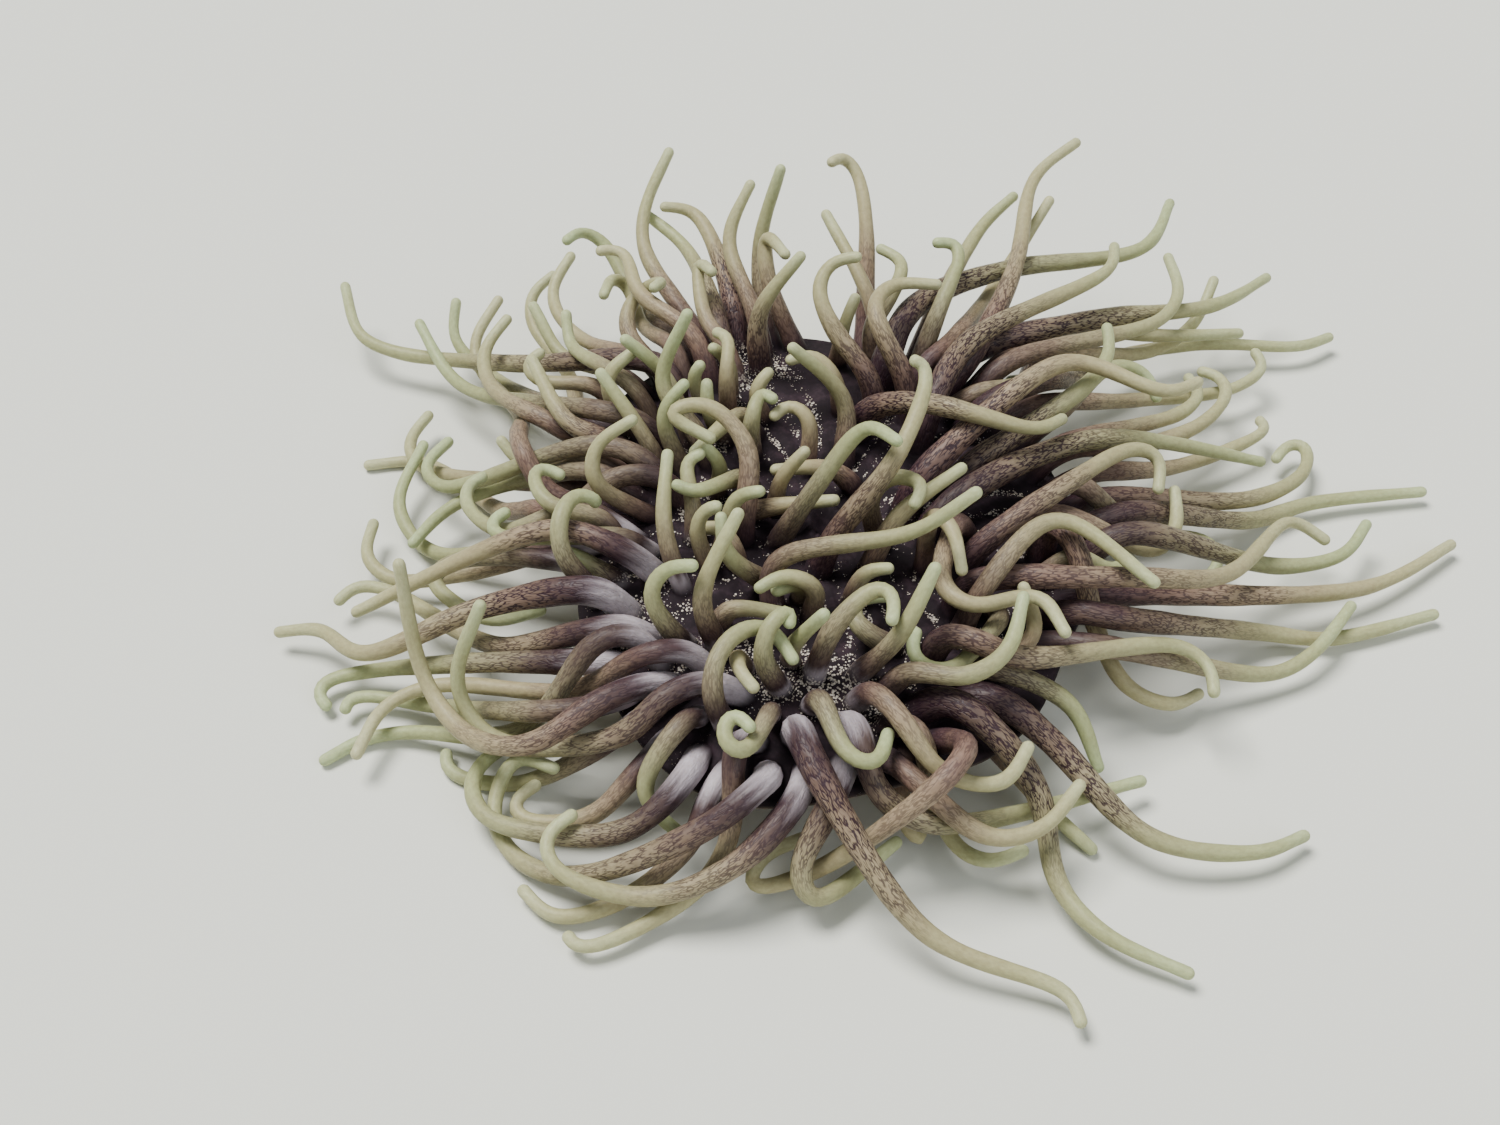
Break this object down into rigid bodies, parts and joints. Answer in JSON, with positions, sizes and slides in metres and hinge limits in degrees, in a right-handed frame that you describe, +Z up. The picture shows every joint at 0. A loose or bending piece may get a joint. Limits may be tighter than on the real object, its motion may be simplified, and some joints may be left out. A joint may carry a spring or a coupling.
{
  "type": "sea anemone",
  "caption": "Life-size sea anemone: a squat column with a lobed crown and many long tapered tentacles spread over the floor.",
  "frame": {"origin": "centre of the flat underside of the pedal disc, on the floor", "axes": "+Z up; -Y is the front, the side nearest the camera; +X to the viewer's right"},
  "size_m": [0.2896, 0.2478, 0.0671],
  "materials": {
    "tentacle_flesh": "matt moist skin, olive cream at the tips and brown purple at the roots",
    "crown_flesh": "matt dark purple skin with pale grains in its furrows",
    "column_flesh": "leathery pale grey brown skin with small warts"
  },
  "bodies": {
    "root": {"column": "column_flesh", "crown_sector_1": "crown_flesh", "crown_sector_2": "crown_flesh", "crown_sector_3": "crown_flesh", "crown_sector_4": "crown_flesh", "crown_sector_5": "crown_flesh", "crown_sector_6": "crown_flesh", "crown_sector_7": "crown_flesh", "crown_sector_8": "crown_flesh", "mouth": "crown_flesh", "pedal_disc": "column_flesh", "tentacle_back_01": "tentacle_flesh", "tentacle_back_02": "tentacle_flesh", "tentacle_back_08": "tentacle_flesh", "tentacle_back_12": "tentacle_flesh", "tentacle_back_13": "tentacle_flesh", "tentacle_back_left_08_base": "tentacle_flesh", "tentacle_back_left_08_tip": "tentacle_flesh", "tentacle_back_left_14": "tentacle_flesh", "tentacle_back_right_01": "tentacle_flesh", "tentacle_back_right_02": "tentacle_flesh", "tentacle_back_right_03": "tentacle_flesh", "tentacle_back_right_05": "tentacle_flesh", "tentacle_back_right_06_base": "tentacle_flesh", "tentacle_back_right_06_tip": "tentacle_flesh", "tentacle_back_right_08_base": "tentacle_flesh", "tentacle_back_right_08_tip": "tentacle_flesh", "tentacle_back_right_11": "tentacle_flesh", "tentacle_back_right_12_base": "tentacle_flesh", "tentacle_back_right_12_tip": "tentacle_flesh", "tentacle_back_right_14": "tentacle_flesh", "tentacle_front_01": "tentacle_flesh", "tentacle_front_03": "tentacle_flesh", "tentacle_front_07": "tentacle_flesh", "tentacle_front_10": "tentacle_flesh", "tentacle_front_left_01": "tentacle_flesh", "tentacle_front_left_02": "tentacle_flesh", "tentacle_front_left_04": "tentacle_flesh", "tentacle_front_right_01": "tentacle_flesh", "tentacle_front_right_03": "tentacle_flesh", "tentacle_front_right_04": "tentacle_flesh", "tentacle_front_right_05": "tentacle_flesh", "tentacle_inner_13": "tentacle_flesh", "tentacle_left_01": "tentacle_flesh", "tentacle_left_02": "tentacle_flesh", "tentacle_left_03": "tentacle_flesh", "tentacle_left_04": "tentacle_flesh", "tentacle_left_06": "tentacle_flesh", "tentacle_left_07": "tentacle_flesh", "tentacle_right_01_base": "tentacle_flesh", "tentacle_right_01_tip": "tentacle_flesh", "tentacle_right_03_base": "tentacle_flesh", "tentacle_right_03_tip": "tentacle_flesh", "tentacle_right_04_base": "tentacle_flesh", "tentacle_right_04_tip": "tentacle_flesh", "tentacle_right_06": "tentacle_flesh", "tentacle_right_07": "tentacle_flesh", "tentacle_right_08": "tentacle_flesh", "tentacle_right_12": "tentacle_flesh", "tentacle_right_13": "tentacle_flesh"}
  },
  "joints": []
}
